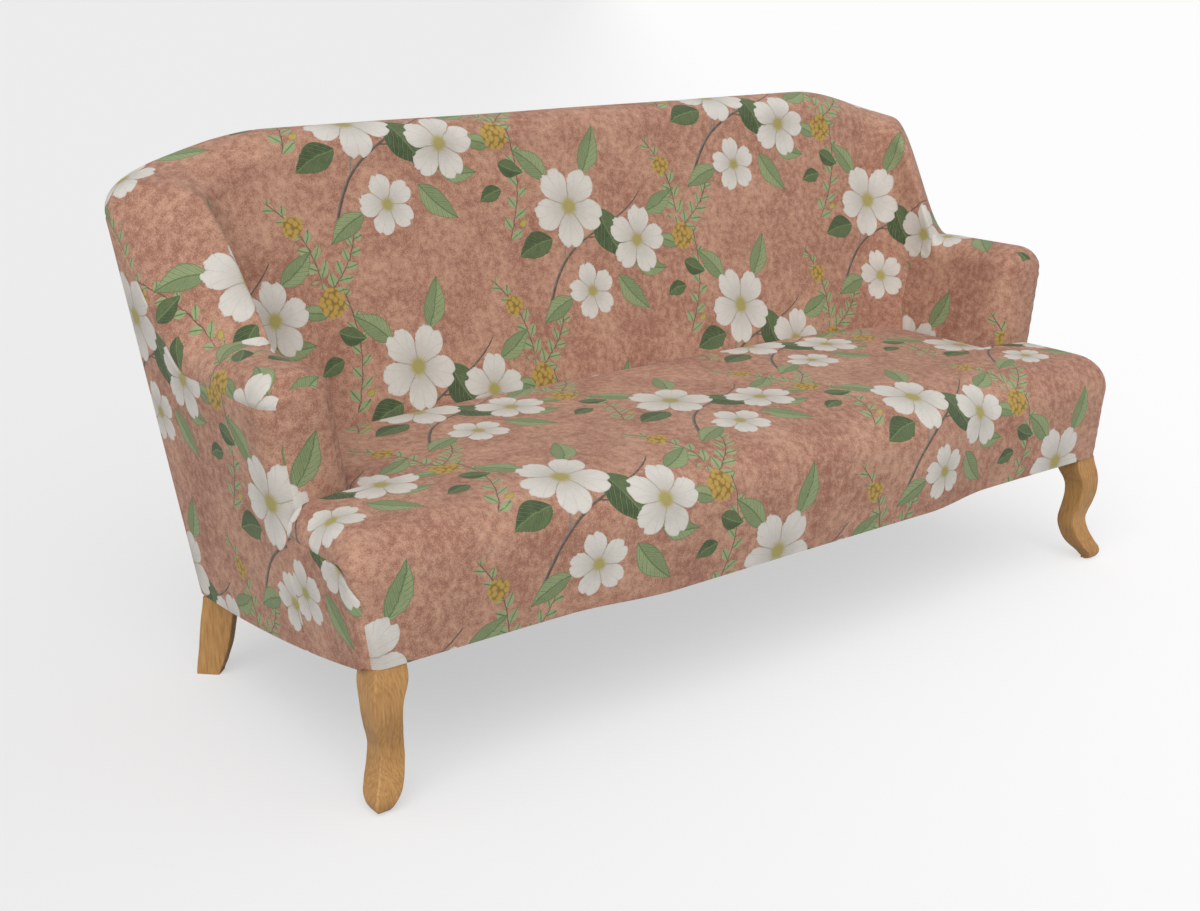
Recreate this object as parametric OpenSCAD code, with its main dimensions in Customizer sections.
// Three-seater sofa with a fixed T-shaped seat, low arms, a wrapped back and four wooden legs.
// X runs along the sofa, Y from the front to the rear and Z up. The origin is on the floor, under the middle.

/* [Body] */
// Length of the seat's front, measured along its lower edge
seat_w = 1712; // [1500:4:1900]
// Depth of the body, from the front corners to the rear of the back, along its lower edge
body_d = 684; // [670:2:740]
// Height of the crest of the back
back_h = 930; // [900:2:960]
// Height of the arms
arm_h = 630; // [610:2:650]
// Height of the covers' lower edge at the front
front_edge_h = 226; // [206:1:234]
// Height of the covers' lower edge at the rear
rear_edge_h = 148; // [132:1:166]
// Outward lean of the sides, in degrees
flare = 7.4; // [5:0.2:9]
// Rearward lean of the outside back, in degrees
outside_lean = 5.5; // [4:0.5:7]
// Radius of the rear corners of the body, in plan
corner_r = 90; // [84:2:100]

/* [Seat] */
// Height of the seat's edges, before the crown
seat_edge_h = 427; // [415:1:436]
// Crown of the seat over its edges
seat_crown = 16; // [8:1:24]
// Depth of the part of the seat ahead of the arms
shoulder_d = 197; // [180:1:215]
// Radius of the rolled front edge
front_roll_r = 62; // [45:1:75]
// Radius of the rolled edges at the sides of the seat
side_roll_r = 44; // [36:1:56]
// Radius of the seat's upright front corners
front_corner_r = 26; // [18:1:34]
// Radius of the seat's edges between the arms
deck_roll_r = 24; // [14:1:34]
// Height of the platform that carries the seat's stuffing
platform_h = 330; // [324:1:336]
// How far the middle of the front bows forward
front_bow = 26; // [0:1:34]
// Half of the length of the bowed middle
bow_half = 310; // [240:5:360]
// Length of the wave at each end of the bowed middle
bow_wave = 200; // [140:5:260]
// Forward belly of the seat's front
seat_belly = 8; // [2:1:14]

/* [Arms and back] */
// Thickness of the arms, measured level
arm_t = 126; // [118:1:140]
// Thickness of the back, from the inside back over the seat's edge to the body's rear edge
back_t = 184; // [180:1:200]
// Radius of the arms' front ends
arm_end_r = 46; // [40:1:50]
// Height of the rolled top of the arms
arm_roll = 50; // [44:1:56]
// Height of the rolled top of the back
back_roll = 56; // [50:1:66]
// Rearward lean of the inside back, in degrees
inside_lean = 16; // [14:0.5:17]
// Radius of the inside corners, in plan
inside_r = 70; // [50:2:84]
// Distance ahead of the rear corner at which the arm's top starts to rise
rise_ahead = 166; // [150:2:190]
// Length of the steep rise of the wing
wing_run = 195; // [180:5:230]
// Share of the rise that the wing takes
wing_share = 0.75; // [0.68:0.01:0.82]
// Length of the soft drop at each end of the crest
crest_run = 400; // [340:10:460]

/* [Stuffing and cloth] */
// Thickness of the cover cloth with its lining
cloth = 2; // [1.5:0.5:3]
// Thickness of the foam on the inside back
back_foam_t = 44; // [38:1:48]
// Thickness of the foam on the inside arms
arm_foam_t = 34; // [28:1:36]
// Thickness of the foam where it ends at the outer edge of the rolled tops
edge_foam_t = 12; // [8:1:16]
// Thickness of the webbing straps
strap_t = 1.5; // [1:0.5:2]
// Width of the webbing straps
strap_w = 60; // [40:2:64]
// Thickness of the hessian sheets
hessian_t = 1; // [0.8:0.1:1.5]

/* [Frame] */
// Thickness of the frame's boards
board = 28; // [24:1:30]
// Thickness of the side rails of the seat
side_rail_t = 42; // [40:1:46]
// Height of the seat's inner rails
rail_h = 90; // [70:1:94]
// Width of the rear posts
post_w = 92; // [84:1:96]
// Height of the top rail
top_rail_h = 104; // [94:1:110]
// Thickness of the top rail
top_rail_t = 50; // [44:1:52]
// Diameter of the dowels
dowel_d = 10; // [8:0.5:12]
// Length of the dowels
dowel_l = 44; // [36:1:46]
// Half of the distance between the back posts
back_post_x = 290; // [240:5:340]
// Side of the corner blocks
block_w = 92; // [84:1:96]
// Height of the corner blocks
block_h = 60; // [50:1:70]

/* [Legs] */
// Width of the front legs at the top
front_leg_w = 56; // [50:1:60]
// How far the toes of the front legs reach ahead of the seat
toe_reach = 21; // [16:1:24]
// How far the toes of the front legs reach past the sides of the seat
toe_side = 11; // [7:1:15]
// Thickness of the rear legs
rear_leg_t = 30; // [26:1:32]
// Width of the rear legs at the top
rear_leg_w = 62; // [58:1:66]
// Diameter of the leg bolts
bolt_d = 8; // [6:0.5:9]

/* [Hidden] */
// Clearance between pieces that lie on each other, and between the seat and what stands round it
gap = 0.3;
ease_gap = 0.8;
// Depth under the outside at which the frame and the stuffing start
skin = cloth + gap;
// Depth of the seat, from its front corners to the inside back
seat_d = body_d - back_t;
// Slopes of the sides and of the two faces of the back
flare_k = tan(flare);
outside_k = tan(outside_lean);
inside_k = tan(inside_lean);
// Start of the arms' straight stretch, behind their rounded front ends
arm_y0 = shoulder_d + ease_gap + arm_end_r;
// Lowest level of the covers that tuck down around the seat
tuck_h = platform_h + 8;
// Clearance of the rails above the covers' lower edge
hem = 3;
// Level at which the rolled top of the crest starts
crest_z = back_h - back_roll;
// Underside of the seat's stuffing, on two layers of straps and a hessian
stuffing_z = platform_h + 2*strap_t + hessian_t;
// Level to which the arm's rounded end keeps its side flush with the seat
blend_h = 80;
// Exponent that squares the rolled tops a little
roll_power = 0.9;
// Half width of the slit at which the arm's front end closes, and how far the top dips there
end_slit = 3;
front_dip = 6;
// Place of the seam between arm and back along the U, and its ends on the inside face and the top
seam_w = 0.5;
seam_low = 1.25;
seam_high = 0.42;
// Forward end of the outside arm panel, on the arm's rounded front
panel_t = -0.66;
// Colours
wood = [0.80, 0.66, 0.46];
oak = [0.78, 0.58, 0.34];
steel = [0.62, 0.63, 0.65];
cloth_colour = [0.72, 0.47, 0.38];
panel_colour = [0.66, 0.42, 0.34];
foam_colour = [0.93, 0.90, 0.78];
jute = [0.70, 0.58, 0.40];
strap_colour = [0.20, 0.20, 0.21];
black = [0.09, 0.09, 0.10];

// Values between two others
function mix(a, b, t) = a + (b - a)*t;
function steps(a, b, n) = [for (i = [0:n]) mix(a, b, i/n)];
function ease(t) = let (c = min(1, max(0, t))) c*c*(3 - 2*c);
function power(x, p) = sign(x)*pow(abs(x), p);
// Smooth curve through knots, with n points to each stretch
function curve(k, n) = concat([for (i = [0:len(k) - 2], j = [0:n - 1]) let (
    a = k[max(i - 1, 0)], b = k[i], c = k[i + 1], d = k[min(i + 2, len(k) - 1)], t = j/n
) (2*b + (c - a)*t + (2*a - 5*b + 4*c - d)*t*t + (3*b - a - 3*c + d)*t*t*t)/2], [k[len(k) - 1]]);
function reversed(list) = [for (i = [len(list) - 1:-1:0]) list[i]];

// The body's faces at a level: half widths outside and inside, rear lines outside and inside
function outer_x(z) = seat_w/2 + (z - rear_edge_h)*flare_k;
function inner_x(z) = outer_x(z) - arm_t;
function outer_y(z) = body_d + (z - rear_edge_h)*outside_k;
function inner_y(z) = seat_d + (z - seat_edge_h)*inside_k;
// Middle of the whole depth, which lies over the origin
mid_y = (outer_y(crest_z) - front_bow - seat_belly)/2;
// The covers' lower edge, which drops towards the rear
function edge_h(y) = mix(rear_edge_h, front_edge_h, pow(max(0, 1 - y/body_d), 2));
// The bow of the front in plan
function bow(x) = front_bow*(1 - ease((abs(x) - bow_half)/bow_wave));

// Point on a U in plan, open to the front. The place t runs 0 to 1 on the left side, 1 to 2 round
// its corner and 2 to 3 to the middle of the rear, and on to 6 the same way on the right.
function u_plan(t, wx, ry, r) =
    t > 3 ? let (p = u_plan(6 - t, wx, ry, r)) [-p.x, p.y] :
    t > 2 ? [-(wx - r)*(3 - t), ry] :
    t > 1 ? [-(wx - r) - r*cos(90*(t - 1)), ry - r + r*sin(90*(t - 1))] :
    [-wx, mix(arm_y0, ry - r, max(t, 0))];

// Rise of the rolled top along the U, from the arms to the crest
mid_z = (arm_h + back_h)/2;
side_run = outer_y(mid_z) - corner_r - arm_y0;
rise_start = side_run - rise_ahead;
function run_at(t) = t > 3 ? run_at(6 - t) :
    t > 2 ? side_run + corner_r*PI/2 + (outer_x(mid_z) - corner_r)*(t - 2) :
    t > 1 ? side_run + corner_r*PI/2*(t - 1) : side_run*max(t, 0);
function rise_at(t) = let (s = run_at(t) - rise_start)
    wing_share*ease(s/wing_run) + (1 - wing_share)*ease((s - wing_run/2)/crest_run);
function roll_at(t) = mix(arm_roll, back_roll, rise_at(t));
// Level at which the rolled top starts
function top_at(t) = mix(arm_h, back_h, rise_at(t)) - roll_at(t);

// Point of the wall of arms and back, sunk by a depth d. The place v runs 0 to 1 up the inside face,
// 1 to 2 over the rolled top and 2 to 3 down the outside face. Below 0, t runs round the arm's front
// end, to -1, and on to the middle of its front, at -2. Lift 0 flattens the rolled top.
function wall(t, v, d, lift = 1, foot = -1) = let (
    top = top_at(t) - front_dip*max(0, -1 - t),
    turn = 90*min(1, max(0, -t)),
    end_r = arm_end_r - d,
    low = foot < 0 ? edge_h(u_plan(t, 1, outer_y(rear_edge_h), corner_r).y - end_r*sin(turn)) : foot,
    z = v < 1 ? mix(tuck_h, top, v) : v > 2 ? mix(top, low, v - 2) : top,
    flush = v > 2 ? ease((z - tuck_h)/blend_h) : 1,
    e = d + flush*(t < -1 ? mix(end_r, arm_t/2 - end_slit - d, -1 - t) : end_r*(1 - cos(turn))),
    out = u_plan(t, outer_x(z) - e, outer_y(z) - e, corner_r - e),
    in = u_plan(t, inner_x(z) + e, inner_y(z) + e, inside_r + e),
    mid = (out + in)/2,
    half = (out - in)/2,
    across = power(-cos(180*(v - 1)), roll_power),
    up = power(sin(180*(v - 1)), roll_power),
    p = v < 1 ? in : v > 2 ? out : [mid.x + half.x*across, mid.y + half.y*across]
) [p.x, p.y - end_r*sin(turn), z + (v > 1 && v < 2 ? lift*max(0, roll_at(t) - e)*up : 0)];

// Place on the U of the layers that meet in the slanting seam between arm and back
function seam_t(v) = mix(seam_low, seam_high, ease((v - 0.35)/0.9));
function warp(w, v) = w > 3 ? 6 - warp(6 - w, v) : w > 2 || w <= 0 ? w :
    w < seam_w ? seam_t(v)*w/seam_w : mix(seam_t(v), 2, (w - seam_w)/(2 - seam_w));
// Depth of the hidden face of the foam
function foam_depth(t, v) = skin + mix(mix(arm_foam_t, back_foam_t, ease(min(t, 6 - t) - 1)),
    edge_foam_t, ease(v - 1));

// Closed sheet between two matching grids of points, the outer face first. It holds the cells that
// keep() chooses.
module sheet(over, under, keep = function (i, j) true) {
    rows = len(over);
    cols = len(over[0]);
    cell = function (i, j) i >= 0 && j >= 0 && i < rows - 1 && j < cols - 1 && keep(i, j);
    id = function (g, i, j) (g*rows + i)*cols + j;
    quad = function (a, b, c, d) [[a, b, c], [a, c, d]];
    faces = [for (i = [0:rows - 2], j = [0:cols - 2]) if (cell(i, j)) each [
        each quad(id(0, i, j), id(0, i, j + 1), id(0, i + 1, j + 1), id(0, i + 1, j)),
        each quad(id(1, i, j), id(1, i + 1, j), id(1, i + 1, j + 1), id(1, i, j + 1)),
        if (!cell(i, j - 1)) each quad(id(0, i, j), id(0, i + 1, j), id(1, i + 1, j), id(1, i, j)),
        if (!cell(i, j + 1)) each quad(id(0, i, j + 1), id(1, i, j + 1), id(1, i + 1, j + 1), id(0, i + 1, j + 1)),
        if (!cell(i - 1, j)) each quad(id(0, i, j), id(1, i, j), id(1, i, j + 1), id(0, i, j + 1)),
        if (!cell(i + 1, j)) each quad(id(0, i + 1, j), id(0, i + 1, j + 1), id(1, i + 1, j + 1), id(1, i + 1, j))
    ]];
    polyhedron(points = [for (g = [over, under], row = g, p = row) p], faces = faces, convexity = 8);
}

// Everything is drawn from the seat's front corners and then moved over the origin
module at_origin() translate([0, -mid_y, 0]) children();

inside_vs = concat(steps(0, 1, 3), [for (i = [1:7]) 1 + i/7]);
// Rows of the outside face, with one where its rounded front end starts and one where it ends
foot_z = edge_h(arm_y0);
flush_v = 2 + (top_at(0) - tuck_h - blend_h)/(top_at(0) - foot_z);
tuck_v = 2 + (top_at(0) - tuck_h)/(top_at(0) - foot_z);
outside_vs = [2, mix(2, flush_v, 0.5), flush_v, mix(flush_v, tuck_v, 0.5), tuck_v, 3];
arm_ws = concat([-2, -1, -0.66, -0.33, 0], [for (i = [1:4]) seam_w*i/4]);
wing_ws = concat([for (i = [0:9]) mix(seam_w, 2, i/10)], [2, 2.12, 2.25, 2.5, 3]);
back_ws = concat(wing_ws, [for (i = [len(wing_ws) - 2:-1:0]) 6 - wing_ws[i]]);

// Layers of the inside of the arms and back: the cloth and the foam under it
module inside_cloth(ws)
    sheet([for (w = ws) [for (v = inside_vs) wall(warp(w, v), v, 0)]],
        [for (w = ws) [for (v = inside_vs) wall(warp(w, v), v, cloth)]]);
module inside_foam(ws)
    sheet([for (w = ws) [for (v = inside_vs) wall(warp(w, v), v, skin)]],
        [for (w = ws) [for (v = inside_vs) let (t = warp(w, v)) wall(t, v, foam_depth(t, v), 0)]]);
module outside_cloth(ts)
    sheet([for (t = ts) [for (v = outside_vs) wall(t, v, 0)]],
        [for (t = ts) [for (v = outside_vs) wall(t, v, cloth)]]);

// Point of the seat, sunk by a depth d. The place a runs -1 to 1 across and on to 2 down the side
// edge; b runs 0 to 1 up the front, 1 to 2 over the front roll and 2 to 3 back to the inside back.
deck_y = inner_y(seat_edge_h) - ease_gap;
crown_run = 150;
// Half width of the seat between the arms, which follows the round inside corners
function deck_half(y) = inner_x(seat_edge_h - deck_roll_r) - ease_gap - inside_r
    + sqrt(inside_r*inside_r - pow(max(0, y - deck_y + inside_r), 2));
function seat_b(y) = 2 + (y - front_roll_r)/(deck_y - front_roll_r);
function seat_line(b) = b < 1 ? [0, mix(front_edge_h, seat_edge_h - front_roll_r, b)] :
    b < 2 ? [front_roll_r*(1 - cos(90*(b - 1))), seat_edge_h - front_roll_r*(1 - sin(90*(b - 1)))] :
    [mix(front_roll_r, deck_y, b - 2), seat_edge_h];
function seat_normal(b) = b < 1 ? [-1, 0] : b < 2 ? [-cos(90*(b - 1)), sin(90*(b - 1))] : [0, 1];
function seat_edge_r(b) = seat_line(b)[0] > shoulder_d ? deck_roll_r
    : mix(front_corner_r, side_roll_r, ease(b - 1));
function seat_point(a, b, d) = let (
    line = seat_line(b),
    n = seat_normal(b),
    r = seat_edge_r(b),
    half = line[0] > shoulder_d ? deck_half(line[0]) : outer_x(line[1] - r*n[1]),
    turn = 90*max(0, abs(a) - 1),
    x = sign(a)*((half - r)*min(abs(a), 1) + (r - d)*sin(turn)),
    p = line - r*n + (r - d)*cos(turn)*n,
    level = (p[1] - front_edge_h)/(seat_edge_h - front_edge_h),
    fade = 1 - ease(line[0]/shoulder_d),
    crown = seat_crown*(1 - pow(min(1, abs(x)/half), 4))*ease(line[0]/crown_run),
    sway = bow(x)*fade + (b < 2 ? seat_belly*sin(180*level) : 0)*(1 - pow(min(1, abs(x)/half), 8))
) [x, p[0] - sway, p[1] + crown];
seat_as = concat([2, 1.66, 1.33], steps(1, -1, 20), [-1.33, -1.66, -2]);
shoulder_bs = [seat_b(shoulder_d), seat_b(shoulder_d + ease_gap/2)];
deck_bs = concat([for (k = [0.36, 0.71]) seat_b(mix(front_roll_r, shoulder_d, k))], shoulder_bs,
    [for (k = [0.4, 0.75, 1]) seat_b(mix(shoulder_d, deck_y - inside_r, k))],
    [for (k = [1/2, 1/6]) seat_b(deck_y - inside_r*k)], [3]);
front_bs = concat(steps(0, 1, 4), [1.25, 1.5, 1.75, 2]);

// Frames that lie in the left side and in the inside back
function side_z(z, x) = (z - rear_edge_h - x*sin(flare))/cos(flare);
module on_side() translate([-outer_x(rear_edge_h), 0, rear_edge_h]) rotate([0, -flare, 0]) children();
module side_plate(outline, x, t) on_side() translate([x, 0, 0]) rotate([90, 0, 90])
    linear_extrude(t) polygon(outline);
module on_inside_back() translate([0, inner_y(platform_h) + skin + back_foam_t + gap, platform_h])
    rotate([-inside_lean, 0, 0]) children();
// Keeps what lies between the sides, at a depth x from the outside of each
module between_sides(x) intersection() {
    children();
    rotate([90, 0, 0]) linear_extrude(4*body_d, center = true) polygon([
        for (z = [0, back_h], s = z == 0 ? [-1, 1] : [1, -1]) [s*(outer_x(z) - x/cos(flare)), z]]);
}

// Levels and depths of the frame
side_in = skin + side_rail_t;
board_in = skin + board;
post_in = board_in + board;
arm_in = (arm_t - skin - arm_foam_t - gap)*cos(flare) - hessian_t - gap;
post_y = arm_y0 + gap;
leg_top = front_edge_h + hem;
rear_leg_top = edge_h(body_d - 89) + hem;
back_rail_y = seat_d + 30;
wing_y = seat_d - 60;
rear_post_front = function (z) outer_y(z) - post_w - board;
rear_post_rear = function (z) outer_y(z) - board;
arm_rail_z = arm_h - arm_roll - 3*gap;

// Dowels of the left side, which lie along the side's own axes: at, turn
function side_dowel_places() = [
    [[16, post_y + board/2, side_z(platform_h, side_in)], 0],
    [[36, post_y + board/2, side_z(platform_h, side_in)], 0],
    [[16, wing_y + 30, side_z(platform_h, side_in)], 0],
    [[16, wing_y + 90, side_z(platform_h, side_in)], 0],
    [[30, post_y + board/2, side_z(arm_rail_z, arm_in) - board], 0],
    [[66, post_y + board/2, side_z(arm_rail_z, arm_in) - board], 0],
    [[arm_in - board/2, post_y + board, side_z(platform_h + 36, arm_in)], 1],
    [[board_in/2, wing_y, side_z(arm_rail_z, arm_in) - board/2], 1],
    [[side_in, board/2 + skin, side_z(front_edge_h + 32, side_in)], 2],
    [[side_in, board/2 + skin, side_z(front_edge_h + 76, side_in)], 2],
    [[side_in, back_rail_y + board/2, side_z(platform_h - 66, side_in)], 2],
    [[side_in, back_rail_y + board/2, side_z(platform_h - 26, side_in)], 2],
    [[post_in, rear_rail_y + board/2, side_z(rear_edge_h + 30, post_in)], 2],
    [[post_in, rear_rail_y + board/2, side_z(rear_edge_h + 70, post_in)], 2],
    [[post_in, top_rail_y + top_rail_t/2, side_z(crest_z - gap - top_rail_h + 14, post_in)], 2]
];
rear_rail_y = rear_post_rear(rear_edge_h + hem) - board;
top_rail_y = outer_y(crest_z) - top_rail_t - 20;
module side_dowels(slack = 0) on_side() for (p = side_dowel_places())
    translate(p[0]) rotate(p[1] == 0 ? [0, 0, 0] : p[1] == 1 ? [90, 0, 0] : [0, 90, 0])
        cylinder(d = dowel_d, h = dowel_l + slack, center = true, $fn = 24);
// Upright dowels at both ends of the back posts
module post_dowels(slack = 0) for (s = [-1, 1]) {
    translate([s*back_post_x, rear_rail_y + board/2, rear_edge_h + hem + rail_h])
        cylinder(d = dowel_d, h = dowel_l + slack, center = true, $fn = 24);
    translate([s*back_post_x, top_rail_y + top_rail_t/2, crest_z - gap - top_rail_h])
        cylinder(d = dowel_d, h = dowel_l + slack, center = true, $fn = 24);
}
module both_sides() {
    children();
    mirror([1, 0, 0]) children();
}
hole_slack = 2;
module drilled() difference() {
    children();
    both_sides() side_dowels(hole_slack);
    post_dowels(hole_slack);
}
module side_drilled() difference() {
    children();
    side_dowels(hole_slack);
}

// Screws of the corner blocks: each runs from the block into a rail
screw_d = 4;
screw_l = 52;
module screw(slack = 0) {
    cylinder(d = screw_d, h = screw_l, $fn = 20);
    cylinder(d = 2*screw_d, h = 3, $fn = 20);
}
block_x = outer_x(leg_top) - side_in/cos(flare) - gap;
block_y = skin + board + gap;
rear_block_x = outer_x(rear_leg_top) - post_in/cos(flare) - gap;
module left_screws() {
    translate([-block_x + 28, block_y + 34, leg_top + block_h/2]) rotate([90, 0, 0]) screw();
    translate([-block_x + 34, block_y + 28, leg_top + block_h/2 + 12]) rotate([0, -90, 0]) screw();
    translate([-rear_block_x + 28, rear_rail_y - gap - 34, rear_leg_top + block_h/2])
        rotate([-90, 0, 0]) screw();
    translate([-rear_block_x + 34, rear_rail_y - gap - 28, rear_leg_top + block_h/2 + 12])
        rotate([0, -90, 0]) screw();
}

// Leg bolts, upright in the legs and in what stands on them
bolt_l = 84;
toe_offset = 45;
leg_x = outer_x(front_edge_h) + toe_side - toe_offset;
leg_y = toe_offset - toe_reach;
rear_toe = [-(seat_w/2 + 12), body_d - 61.5];
bolt_places = [[-leg_x + 2, leg_y + 7, leg_top], [rear_toe.x + 51, rear_toe.y - 49, rear_leg_top]];
module left_bolts(slack = 0) for (p = bolt_places)
    translate([p.x, p.y, p.z - 4]) cylinder(d = bolt_d, h = bolt_l + slack, center = true, $fn = 24);

// Seat rails
module front_rail() color(wood) at_origin() difference() {
    drilled() between_sides(side_in + gap) translate([0, 0, leg_top])
        linear_extrude(platform_h - leg_top) polygon(concat(
            [for (x = steps(-outer_x(platform_h), outer_x(platform_h), 48)) [x, skin + wave_gap - bow(x)]],
            [for (x = steps(outer_x(platform_h), -outer_x(platform_h), 48)) [x, skin + board - bow(x)]]));
    both_sides() left_screws();
}
module seat_back_rail() color(wood) at_origin() drilled() between_sides(side_in + gap)
    translate([-seat_w, back_rail_y, platform_h - rail_h]) cube([2*seat_w, board, rail_h]);
module rear_rail() color(wood) at_origin() difference() {
    drilled() between_sides(post_in + gap) translate([-seat_w, rear_rail_y, rear_edge_h + hem])
        cube([2*seat_w, board, rail_h]);
    both_sides() left_screws();
}
// Clearance of the rails inside the seat's rounded and waved front
wave_gap = 1.2;
leg_pocket = leg_y + front_leg_w/2 + 8;
module side_rail_left() color(wood) at_origin() difference() {
    side_drilled() side_plate(concat(
        [[skin, side_z(leg_top, 0)], [leg_pocket, side_z(leg_top, 0)]],
        [for (y = steps(leg_pocket + 1, rear_post_front(rear_edge_h) - gap, 12)) [y, side_z(edge_h(y) + hem, 0)]],
        [[rear_post_front(rear_edge_h) - gap, side_z(platform_h, side_in)],
            [skin, side_z(platform_h, side_in)]]), skin, side_rail_t);
    on_side() linear_extrude(platform_h) difference() {
        square(front_corner_r);
        translate([front_corner_r, front_corner_r]) circle(front_corner_r - skin - wave_gap, $fn = 60);
    }
    left_screws();
    left_bolts(hole_slack);
}
module side_rail_right() mirror([1, 0, 0]) side_rail_left();
module cross_rail(x) color(wood) at_origin()
    translate([x - board/2, skin + board - bow(x) + gap, platform_h - rail_h + 12])
        cube([board, back_rail_y - skin - board + bow(x) - 2*gap, rail_h - 18]);
module cross_rail_left() cross_rail(-back_post_x);
module cross_rail_right() cross_rail(back_post_x);
module corner_blocks() color(wood) at_origin() both_sides() difference() {
    union() {
        between_sides(side_in + gap) translate([-block_x - 20, block_y, leg_top]) linear_extrude(block_h)
            polygon([[0, 0], [block_w + 20, 0], [0, block_w + 20]]);
        between_sides(post_in + gap) translate([-rear_block_x - 20, rear_rail_y - gap, rear_leg_top])
            linear_extrude(block_h) polygon([[0, 0], [0, -block_w + 12], [block_w, 0]]);
    }
    left_screws();
    left_bolts(hole_slack);
}

// Keeps the part of a board in the side that stays under the rolled top, and the clearance there
roll_gap = 4;
module under_roll() intersection() {
    children();
    side_plate(concat([for (t = concat(steps(0, 1, 20), steps(1.06, 1.9, 14))) let (p = wall(t, 2, skin))
        [p.y, side_z(p.z - roll_gap, 0)]], [[2*body_d, mid_z], [2*body_d, 0], [0, 0], [0, side_z(arm_rail_z, 0)]]),
        0, arm_t);
}

// Back frame
module rear_post_left() color(wood) at_origin() difference() {
    side_drilled() under_roll() side_plate(concat(
        [for (z = [rear_leg_top, crest_z]) [rear_post_front(z), side_z(z, post_in)]],
        [for (z = [crest_z, rear_leg_top]) [rear_post_rear(z), side_z(z, post_in)]]),
        board_in + gap, board - gap);
    left_screws();
    left_bolts(hole_slack);
}
module rear_post_right() mirror([1, 0, 0]) rear_post_left();
inner_line = function (z) inner_y(z) + (skin + back_foam_t + gap + strap_t + gap)/cos(inside_lean);
module back_post(x) color(wood) at_origin() difference() {
    drilled() translate([x - board/2, 0, 0]) rotate([90, 0, 90]) linear_extrude(board) polygon([
        [back_rail_y + board + gap, rear_edge_h + hem + rail_h],
        [back_rail_y + board + gap, platform_h + 6], [inner_line(platform_h + 6), platform_h + 6],
        [inner_line(crest_z - gap - top_rail_h), crest_z - gap - top_rail_h],
        [outer_y(crest_z - gap - top_rail_h) - skin, crest_z - gap - top_rail_h],
        [outer_y(rear_edge_h + hem + rail_h) - skin, rear_edge_h + hem + rail_h]]);
    for (z = [lower_rail_z, upper_rail_z]) inside_back_rail(z, rail_slack);
}
module back_post_left() back_post(-back_post_x);
module back_post_right() back_post(back_post_x);
// Depth inside the sides at which the top rail's ends follow the crest
rail_in = 76;
module top_rail() color(wood) at_origin() drilled() between_sides(post_in + gap) intersection() {
    translate([0, top_rail_y, 0]) rotate([90, 0, 0]) mirror([0, 0, 1]) linear_extrude(top_rail_t)
        polygon(concat([for (t = concat([1.5], crest_ts, [4.5])) [
            u_plan(t, outer_x(crest_z) - rail_in, 0, corner_r).x,
            top_at(t == 1.5 || t == 4.5 ? 1.1 : t) - roll_gap
        ]], [[seat_w, crest_z - gap - top_rail_h], [-seat_w, crest_z - gap - top_rail_h]]));
    translate([-seat_w, 0, 0]) rotate([90, 0, 90]) linear_extrude(2*seat_w)
        polygon([[inner_line(0), 0], [2*body_d, 0], [2*body_d, back_h], [inner_line(back_h), back_h]]);
}
// The two rails let into the front of the back posts
lower_rail_z = 14;
back_rail_w = 52;
upper_rail_z = (crest_z - top_rail_h - platform_h - 8)/cos(inside_lean) - back_rail_w;
back_rail_t = 22;
rail_slack = 0.2;
module inside_back_rail(z, slack = 0) on_inside_back()
    translate([-seat_w, strap_t + gap - slack, z - slack])
        cube([2*seat_w, back_rail_t + 2*slack, back_rail_w + 2*slack]);
module back_upper_rail() color(wood) at_origin() drilled() between_sides(post_in + gap)
    inside_back_rail(upper_rail_z);
module back_lower_rail() color(wood) at_origin() drilled() between_sides(arm_in + hessian_t + 2*gap)
    inside_back_rail(lower_rail_z);

// Arm frame
module arm_post_left() color(wood) at_origin() side_drilled() on_side()
    translate([skin, post_y, side_z(platform_h, side_in)])
        cube([arm_in - skin, board, side_z(arm_rail_z, arm_in) - board - side_z(platform_h, side_in)]);
module arm_post_right() mirror([1, 0, 0]) arm_post_left();
module arm_rail_left() color(wood) at_origin() side_drilled() on_side()
    translate([skin, post_y, side_z(arm_rail_z, arm_in) - board])
        cube([arm_in - skin, wing_y - post_y, board]);
module arm_rail_right() mirror([1, 0, 0]) arm_rail_left();
module arm_tack_rail_left() color(wood) at_origin() side_drilled() on_side()
    translate([post_in, post_y + board, side_z(platform_h + 10, arm_in)])
        cube([arm_in - post_in, rear_post_front(platform_h) + 54.5 - post_y - board, 50]);
module arm_tack_rail_right() mirror([1, 0, 0]) arm_tack_rail_left();
module wing_board_left() color(wood) at_origin() side_drilled() under_roll() side_plate([
    [outer_y(crest_z) - corner_r, side_z(crest_z, 0)], [outer_y(rear_leg_top) - corner_r, side_z(rear_leg_top, 0)],
    [rear_post_front(rear_leg_top), side_z(rear_leg_top, 0)],
    [rear_post_front(rear_leg_top), side_z(platform_h, side_in)],
    [wing_y, side_z(platform_h, side_in)], [wing_y, side_z(crest_z, 0)]], skin, board);
module wing_board_right() mirror([1, 0, 0]) wing_board_left();

// Fasteners
module frame_dowels() color(oak) at_origin() {
    both_sides() side_dowels();
    post_dowels();
}
module block_screws() color(steel) at_origin() both_sides() left_screws();
module leg_bolts() color(steel) at_origin() both_sides() left_bolts();

// Front legs: one S-curved outline cut on two faces of a square bar. Knots: outward offset, height.
leg_outer = [[31, 0], [40, 4], [45, 14], [44, 25], [37, 38], [27, 61], [21, 86], [22.5, 102], [29, 126],
    [33.5, 152], [34, 184], [27, 226]];
leg_inner = [[18, 0], [15, 7], [-8, 37], [-19, 67], [-21.5, 90], [-17.5, 120], [-15, 145], [-17, 170],
    [-29, 202], [-29, 226]];
leg_scale = [front_leg_w/56, (front_edge_h - gap)/226];
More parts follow.
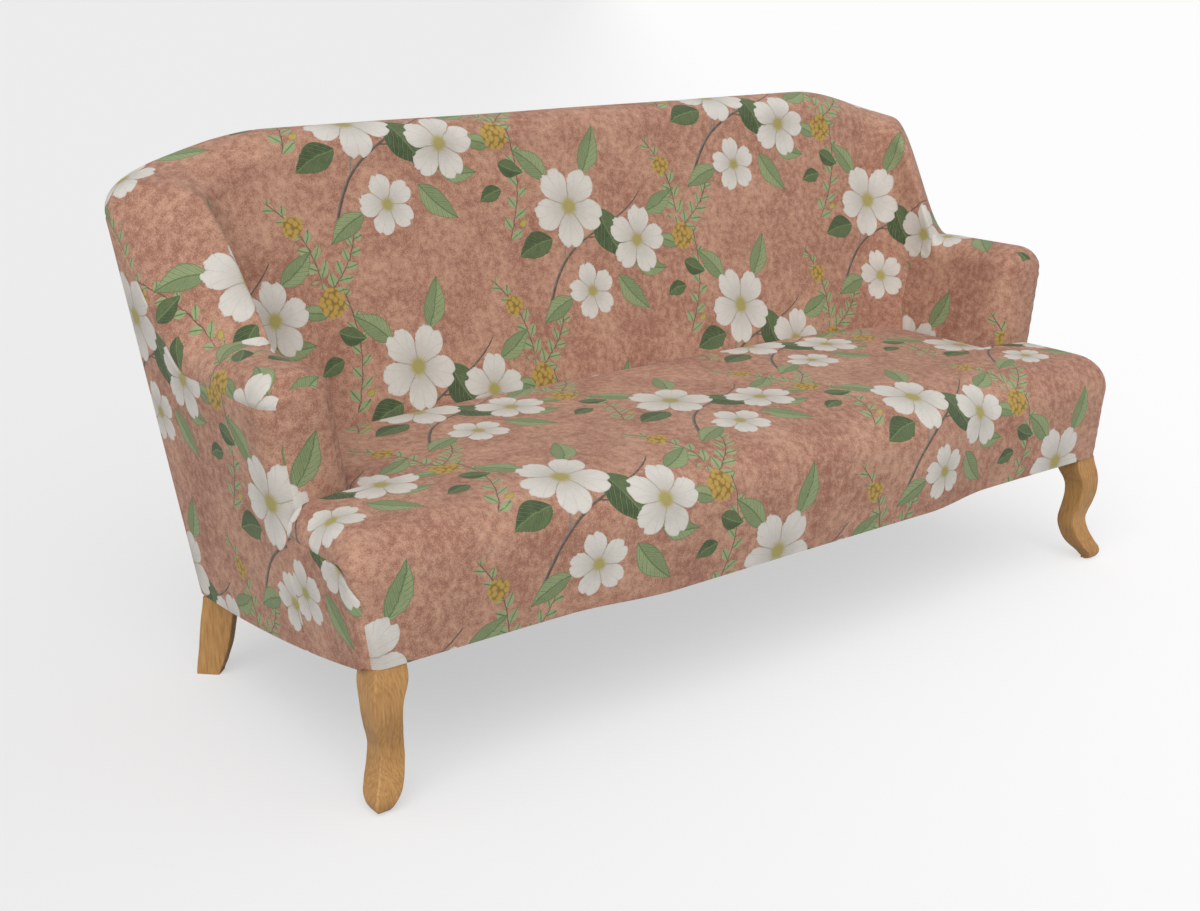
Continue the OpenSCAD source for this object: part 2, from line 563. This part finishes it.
// Side of the square pad that carries the frame on each front leg
pad_w = 40;
function leg_outline() = [for (p = concat(curve(leg_outer, 3), reversed(curve(leg_inner, 3))))
    [-p[0]*leg_scale[0], p[1]*leg_scale[1]]];
module front_leg_left() color(oak) at_origin() difference() {
    translate([-leg_x, leg_y, 0]) {
        intersection() {
            rotate([90, 0, 0]) linear_extrude(200, center = true) polygon(leg_outline());
            rotate([90, 0, 90]) linear_extrude(200, center = true) polygon(leg_outline());
        }
        translate([-14, -14, front_edge_h - 12]) cube([pad_w, pad_w, 12 + hem]);
    }
    left_bolts(hole_slack);
}
module front_leg_right() mirror([1, 0, 0]) front_leg_left();

// Rear legs: a sabre-shaped board set on the diagonal. Knots: inward offset from the toe, height.
rear_leg_outer = [[0, 0], [7, 48], [14, 100], [22, 151]];
rear_leg_inner = [[42, 0], [50, 18], [63, 56], [72, 100], [80, 151]];
function rear_leg_outline() = [for (p = concat(curve(rear_leg_outer, 3), reversed(curve(rear_leg_inner, 3))))
    [p[0]*rear_leg_w/62, p[1]*(rear_edge_h - gap)/151]];
rear_pad = [36, 22];
module rear_leg_left() color(oak) at_origin() difference() {
    translate([rear_toe.x, rear_toe.y, 0]) rotate([0, 0, -45]) {
        rotate([90, 0, 0]) linear_extrude(rear_leg_t, center = true) polygon(rear_leg_outline());
        translate([38, -rear_pad.y/2, rear_edge_h - 12])
            cube([rear_pad.x, rear_pad.y, rear_leg_top - rear_edge_h + 12]);
    }
    left_bolts(hole_slack);
}
module rear_leg_right() mirror([1, 0, 0]) rear_leg_left();

// Suspension. The straps keep clear of the posts of the arms and the back.
strap_x = seat_w/2 - arm_t - strap_w + 20;
cross_ys = concat([post_y - 174, post_y - 94], steps(post_y + board + 48, back_rail_y - 50, 2));
back_strap_xs = concat(steps(back_post_x + 130, strap_x - 50, 2), [back_post_x - 110, (back_post_x - 110)/3]);
module seat_webbing_long() color(strap_colour) at_origin() for (x = steps(-strap_x, strap_x, 12))
    translate([x - strap_w/2, skin + 6 - bow(x), platform_h])
        cube([strap_w, back_rail_y + board - skin - 8 + bow(x), strap_t]);
module seat_webbing_cross() color(strap_colour) at_origin()
    for (y = cross_ys) between_sides(board_in + gap)
        translate([-seat_w, y - strap_w/2, platform_h + strap_t]) cube([2*seat_w, strap_w, strap_t]);
module seat_hessian() color(jute) at_origin() translate([1 - inner_x(platform_h), 8, platform_h + 2*strap_t])
    cube([2*inner_x(platform_h) - 2, back_rail_y - 8, hessian_t]);
module back_webbing() color(strap_colour) at_origin() on_inside_back()
    for (s = [-1, 1], x = back_strap_xs)
        translate([s*x - strap_w/2, gap, lower_rail_z])
            cube([strap_w, strap_t, upper_rail_z + back_rail_w - lower_rail_z]);
module arm_hessian_left() color(jute) at_origin() on_side()
    translate([arm_in + gap/2, post_y, side_z(platform_h + 10, arm_in)])
        cube([hessian_t, rear_post_front(platform_h) + 7 - post_y,
            side_z(arm_rail_z, arm_in) - side_z(platform_h + 12, arm_in)]);
module arm_hessian_right() mirror([1, 0, 0]) arm_hessian_left();

// Stuffing
foam_foot = 4;
foam_bs = concat([(stuffing_z + foam_foot - front_edge_h)/(seat_edge_h - front_roll_r - front_edge_h)],
    [for (b = front_bs) if (b >= 1) b], deck_bs);
function seat_under(a, b) = let (
    p = seat_point(a, b, skin),
    drop = max(0, seat_edge_h - front_roll_r - stuffing_z) + front_roll_r*min(1, max(0, b - 1))
) [p.x - sign(a)*min(abs(a), 1)*(drop*flare_k + foam_foot), p.y - max(0, b - 2)*(drop*inside_k + foam_foot), stuffing_z];
module seat_foam() color(foam_colour) at_origin()
    sheet([for (b = foam_bs) [for (a = seat_as) seat_point(a, b, skin)]],
        [for (b = foam_bs) [for (a = seat_as) seat_under(a, b)]]);
module back_foam() color(foam_colour) at_origin() inside_foam(back_ws);
module arm_foam_left() color(foam_colour) at_origin() inside_foam([for (w = arm_ws) w < seam_w ? w : w - 0.006]);
module arm_foam_right() mirror([1, 0, 0]) arm_foam_left();

// Covers
module seat_cover() color(cloth_colour) at_origin() let (bs = concat(front_bs, deck_bs))
    sheet([for (b = bs) [for (a = seat_as) seat_point(a, b, 0)]],
        [for (b = bs) [for (a = seat_as) seat_point(a, b, cloth)]]);
border_bs = concat(front_bs, [shoulder_bs[0]]);
border_y = arm_y0 - arm_end_r*sin(-90*panel_t) - gap;
module seat_border_left() color(panel_colour) at_origin() side_plate(concat(
    [for (b = border_bs) let (q = seat_line(b) - (seat_edge_r(b) + gap)*seat_normal(b)) [q[0], side_z(q[1], 0)]],
    [[border_y, side_z(tuck_h - gap, 0)]],
    [for (y = steps(border_y, front_corner_r, 8)) [y, side_z(edge_h(y), 0)]]), 0, cloth);
module seat_border_right() mirror([1, 0, 0]) seat_border_left();
module inside_back_cover() color(cloth_colour) at_origin() inside_cloth(back_ws);
// The inside arm cover wraps round the arm's front end, down to the seat, as far as the outside panel
wrap_foot = tuck_h + 0.3*blend_h;
wrap_vs = concat(inside_vs, [for (v = outside_vs) if (v > 2 && v < tuck_v) 2 + (v - 2)/(tuck_v - 2)], [3]);
module inside_arm_cover_left() color(panel_colour) at_origin() sheet(
    [for (w = arm_ws) [for (v = wrap_vs) wall(warp(w, v), v, 0, 1, wrap_foot)]],
    [for (w = arm_ws) [for (v = wrap_vs) wall(warp(w, v), v, cloth, 1, wrap_foot)]],
    function (i, j) j < len(inside_vs) - 1 || arm_ws[i] < panel_t);
module inside_arm_cover_right() mirror([1, 0, 0]) inside_arm_cover_left();
module outside_arm_cover_left() color(panel_colour) at_origin() outside_cloth(
    concat([panel_t, -0.33], steps(0, seam_high, 4), [for (i = [1:10]) mix(seam_high, 2, i/10)]));
module outside_arm_cover_right() mirror([1, 0, 0]) outside_arm_cover_left();
crest_ts = [2, 2.12, 2.25, 2.5, 3, 3.5, 3.75, 3.88, 4];
module outside_back_cover() color(panel_colour) at_origin() outside_cloth(crest_ts);
module dust_cover() color(black) at_origin() difference() {
    intersection() {
        translate([-seat_w, 0, 0]) rotate([90, 0, 90]) linear_extrude(2*seat_w) polygon(concat(
            [for (y = steps(2*skin, body_d - 2*skin, 20)) [y, edge_h(y) + hem - 2]],
            [for (y = steps(body_d - 2*skin, 2*skin, 20)) [y, edge_h(y) + hem - 1]]));
        linear_extrude(back_h) polygon(concat([[-seat_w/2 + front_corner_r, 0]],
            [for (t = steps(0, 6, 36)) u_plan(t, seat_w/2 - skin, body_d - skin, corner_r - skin)],
            [[seat_w/2 - front_corner_r, 0]]));
    }
    both_sides() {
        translate([-seat_w, -1, 0]) cube([seat_w/2 + block_w, leg_pocket, back_h]);
        translate([rear_toe.x, rear_toe.y, 0]) rotate([0, 0, -45])
            translate([-40, -rear_leg_t/2 - 2, 0]) cube([40 + rear_leg_w + 22, rear_leg_t + 4, back_h]);
    }
}
front_staple_x = seat_w/2 - 176;
rear_staple_x = seat_w/2 - 216;
module cover_staples() color(steel) at_origin() {
    for (x = steps(-front_staple_x, front_staple_x, 20))
        translate([x - 6, 20 - bow(x), leg_top - 1]) cube([12, 1.4, 1]);
    for (x = steps(-rear_staple_x, rear_staple_x, 20))
        translate([x - 6, rear_rail_y + board/2, rear_edge_h + hem - 3]) cube([12, 1.4, 1]);
}

front_rail();
seat_back_rail();
rear_rail();
side_rail_left();
side_rail_right();
cross_rail_left();
cross_rail_right();
corner_blocks();
rear_post_left();
rear_post_right();
back_post_left();
back_post_right();
top_rail();
back_upper_rail();
back_lower_rail();
arm_post_left();
arm_post_right();
arm_rail_left();
arm_rail_right();
arm_tack_rail_left();
arm_tack_rail_right();
wing_board_left();
wing_board_right();
frame_dowels();
block_screws();
leg_bolts();
front_leg_left();
front_leg_right();
rear_leg_left();
rear_leg_right();
seat_webbing_long();
seat_webbing_cross();
seat_hessian();
back_webbing();
arm_hessian_left();
arm_hessian_right();
seat_foam();
back_foam();
arm_foam_left();
arm_foam_right();
seat_cover();
seat_border_left();
seat_border_right();
inside_back_cover();
inside_arm_cover_left();
inside_arm_cover_right();
outside_arm_cover_left();
outside_arm_cover_right();
outside_back_cover();
dust_cover();
cover_staples();
